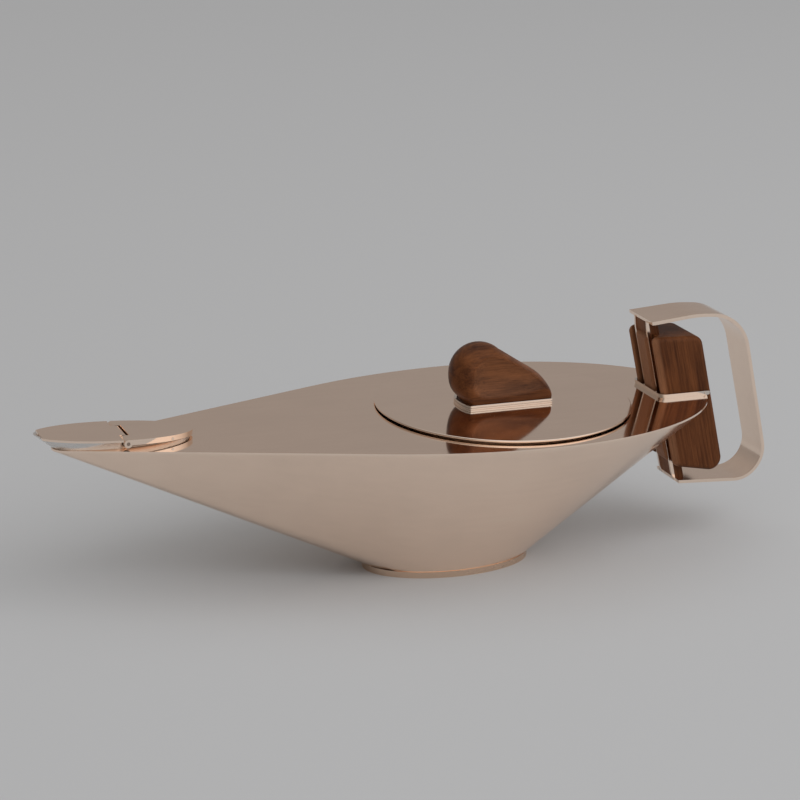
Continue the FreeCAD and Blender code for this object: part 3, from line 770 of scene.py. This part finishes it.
def knob_front(z):
    """Front end of the knob: the bulb, which curls in to a neck above the band."""
    share = min(z / BULB_CURL, 1.0)
    on_bulb = BULB_CENTRE[0] - bulb_reach(max(z, BULB_CURL))
    return KNOB_NECK + share * (on_bulb - KNOB_NECK)


def knob_back_line():
    """Points down the knob's back, from the bulb to the foot."""
    x, z = BULB_CENTRE
    outs = (KNOB_BACK_START / 2, KNOB_BACK_START)
    ahead, start = [(x + out, z + math.sqrt(BULB_RADIUS ** 2 - out ** 2)) for out in outs]
    below = (KNOB_BACK[-1][0], -KNOB_BACK[-2][1])
    guide = (ahead, start, *KNOB_BACK, below)
    steps = KNOB_BACK_STEPS
    line = []
    for index in range(1, len(guide) - 2):
        line += [smooth_between(*guide[index - 1:index + 3], step / steps) for step in range(steps)]
    return line + [guide[-2]]


def knob_rear(z, line):
    """Rear end of the knob at a height above the seat."""
    if z >= line[0][1]:
        return BULB_CENTRE[0] + bulb_reach(z)
    for (x, high), (next_x, low) in zip(line, line[1:]):
        if low <= z <= high:
            return x + (next_x - x) * (high - z) / (high - low)
    return line[-1][0]


def knob_half_width(z):
    """Half width of the knob, before its scoops, at a height above the seat."""
    if z < KNOB_WIDEST:
        narrowing = KNOB_HALF_WIDTH - BAND_HALF_WIDTH
        return KNOB_HALF_WIDTH - narrowing * (1 - z / KNOB_WIDEST) ** 2
    rise = (z - KNOB_WIDEST) / (KNOB_HEIGHT - KNOB_WIDEST)
    return KNOB_HALF_WIDTH * (1 - rise ** KNOB_FULLNESS) ** (1 / KNOB_FULLNESS)


def bowed_loop(front, rear, half_width, front_bow, rear_bow, z):
    """Level loop with bowed ends and straight sides; every loop has its points in the same order."""
    most = (rear - front) / 2
    front_bow, rear_bow = min(front_bow, most), min(rear_bow, most)
    loop = []
    for middle, bow, side in ((rear - rear_bow, rear_bow, 1), (front + front_bow, front_bow, -1)):
        for step in range(LOOP_END_STEPS):
            turn = math.pi * (step / LOOP_END_STEPS - 0.5)
            loop.append((middle + side * bow * math.cos(turn), side * half_width * math.sin(turn)))
        run = front + front_bow - rear + rear_bow
        for step in range(LOOP_SIDE_STEPS):
            loop.append((middle + side * run * step / LOOP_SIDE_STEPS, side * half_width))
    return [Vector((KNOB_MIDDLE + x, y, z)) for x, y in loop]


def scoop_cut(point):
    """Depth that a side's thumb scoop takes off: steep towards the bulb, running out towards the tail."""
    x = point.x - KNOB_MIDDLE - SCOOP_PLACE[0]
    z = point.z - KNOB_SEAT - SCOOP_PLACE[1]
    along = x * math.cos(SCOOP_FALL) - z * math.sin(SCOOP_FALL)
    up = x * math.sin(SCOOP_FALL) + z * math.cos(SCOOP_FALL)
    radius = SCOOP_FRONT_RADIUS if along < 0 else SCOOP_REAR_RADIUS
    limit = SCOOP_FLOOR + along ** 2 / (2 * radius) + up ** 2 / (2 * SCOOP_HOLLOW)
    excess = abs(point.y) - limit
    return (excess + math.hypot(excess, SCOOP_SOFTNESS)) / 2


def scooped(point):
    """Point of the knob's side, moved in to the scoop."""
    reach = max(abs(point.y) - scoop_cut(point), 0.0)
    return Vector((point.x, math.copysign(reach, point.y), point.z))


def knob_loops():
    """Level loops of the knob from its seat almost to its crown."""
    line = knob_back_line()
    loops = []
    for row in range(KNOB_ROWS):
        z = KNOB_HEIGHT * math.sin(math.pi / 2 * row / KNOB_ROWS)
        half_width = knob_half_width(z)
        rise = min(z / KNOB_ROUND_ABOVE, 1.0)
        rise = rise * rise * (3 - 2 * rise)
        bows = [bow + rise * (half_width - bow) for bow in (BAND_BOW, BAND_REAR_BOW)]
        loops.append(bowed_loop(knob_front(z), knob_rear(z, line), half_width, *bows, KNOB_SEAT + z))
    return loops


def band_loop(out, z):
    """Loop round the knob's foot, a little outside it."""
    return bowed_loop(BAND_FRONT - out, BAND_REAR + out, BAND_HALF_WIDTH + out, BAND_BOW, BAND_REAR_BOW, z)


def knob_piece():
    """Carved knob: a bulb that leans forward, a falling back and a thumb scoop on each side."""
    whole = knob_loops()
    foot = [band_loop(0.0, KNOB_FOOT), band_loop(0.0, KNOB_SEAT - KNOB_LEDGE)]
    loops = foot + [[scooped(point) for point in loop] for loop in whole]
    points = [point for loop in loops for point in loop]
    count = len(loops[0])
    rows = [range(start, start + count) for start in range(0, len(points), count)]
    crown = len(points)
    points.append(Vector((KNOB_MIDDLE + BULB_CENTRE[0], 0.0, KNOB_SEAT + KNOB_HEIGHT)))
    faces = stitched(rows)
    faces += [(rows[-1][index], rows[-1][(index + 1) % count], crown) for index in range(count)]
    faces.append(tuple(reversed(range(count))))
    knob = piece_from("carved_knob", points, faces, "walnut_knob")
    # Painted light: a share that pales the wood with the scoops' depth of cut, none on the foot or the
    # crown
    painted_scoop_light = [0.0] * (count * len(foot))
    painted_scoop_light += [min(scoop_cut(point) / SCOOP_PAINTED_LIGHT_DEPTH, 1.0) for loop in whole for point in loop]
    knob.data.attributes.new("painted_scoop_light", "FLOAT", "POINT").data.foreach_set("value", painted_scoop_light + [0.0])
    join_same_points(knob)
    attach(knob, "lid")
    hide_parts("knob")


def knob_band():
    """Grooved band round the knob's foot."""
    points = []
    rows = []
    for out, z in BAND_PROFILE:
        loop = band_loop(out, KNOB_FOOT + z)
        rows.append(range(len(points), len(points) + len(loop)))
        points += loop
    rows.append(rows[0])
    band = piece_from("knob_band", points, stitched(rows), "silver_trim")
    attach(band, "lid")
    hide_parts("knob_bezel")


def floor():
    """Wide plain pale floor."""
    bpy.ops.mesh.primitive_circle_add(vertices=FLOOR_SIDES, radius=FLOOR_RADIUS, fill_type="NGON")
    obj = bpy.context.object
    obj.name = "floor"
    material, _, shader = new_material("studio_floor")
    shader.inputs["Base Color"].default_value = (*PALE_FLOOR, 1)
    shader.inputs["Roughness"].default_value = FLOOR_ROUGHNESS
    shader.inputs["Specular IOR Level"].default_value = 0.0
    obj.data.materials.append(material)


def world():
    """Soft room: grey on the far side, light overhead and in front, dark on the left."""
    room = bpy.data.worlds.new("studio_room")
    room.use_nodes = True
    bpy.context.scene.world = room
    tree = room.node_tree
    back = tree.nodes["Background"]
    place = tree.nodes.new("ShaderNodeTexCoord")
    split = tree.nodes.new("ShaderNodeSeparateXYZ")
    tree.links.new(place.outputs["Generated"], split.inputs["Vector"])
    front = remap(tree, split.outputs["Y"], *FRONT_CHANGE, 0.0, 1.0)
    left = remap(tree, split.outputs["X"], *LEFT_CHANGE, 0.0, 1.0)
    high = remap(tree, split.outputs["Z"], *HIGH_CHANGE, 0.0, 1.0)
    level = colour_mix(tree, front, FAR_ROOM, FRONT_ROOM)
    level = colour_mix(tree, left, level, LEFT_ROOM)
    tree.links.new(colour_mix(tree, high, level, HIGH_ROOM), back.inputs["Color"])
    back.inputs["Strength"].default_value = 1.0


def soft_box(name, place, target, width, height, radiance):
    """Soft box aimed at a point; mirrors don't show it, so that polished metal doesn't clip."""
    data = bpy.data.lights.new(name, "AREA")
    data.shape = "RECTANGLE"
    data.size = width
    data.size_y = height
    data.color = LAMP_WHITE
    data.energy = radiance * math.pi * width * height
    obj = linked(bpy.data.objects.new(name, data))
    obj.location = place
    obj.rotation_euler = (Vector(target) - Vector(place)).to_track_quat("-Z", "Y").to_euler()
    obj.visible_glossy = False


def lights():
    """One soft box in front, to the right and above."""
    centre = (cad_box[0] + cad_box[1]) / 2
    soft_box("key_box", KEY_PLACE, centre, KEY_WIDTH, KEY_HEIGHT, KEY_RADIANCE)


def camera():
    """Camera at the photograph's viewing angle."""
    data = bpy.data.cameras.new("camera")
    data.lens = LENS
    data.sensor_width = SENSOR
    obj = linked(bpy.data.objects.new("camera", data))
    right = Vector((math.cos(CAMERA_AZIMUTH), math.sin(CAMERA_AZIMUTH), 0.0))
    ahead = Vector((-math.sin(CAMERA_AZIMUTH) * math.cos(CAMERA_ELEVATION),
                    math.cos(CAMERA_AZIMUTH) * math.cos(CAMERA_ELEVATION), -math.sin(CAMERA_ELEVATION)))
    up = right.cross(ahead)
    across = math.cos(CAMERA_ROLL) * right + math.sin(CAMERA_ROLL) * up
    upward = math.cos(CAMERA_ROLL) * up - math.sin(CAMERA_ROLL) * right
    turn = Matrix((across, upward, -ahead)).transposed()
    obj.matrix_world = Matrix.Translation(CAMERA_PLACE) @ turn.to_4x4()
    bpy.context.scene.camera = obj


dress_nodes()
pot_wall()
knob_piece()
knob_band()
edited_pieces()
floor()
world()
lights()
camera()
bpy.context.scene.view_settings.view_transform = "Standard"
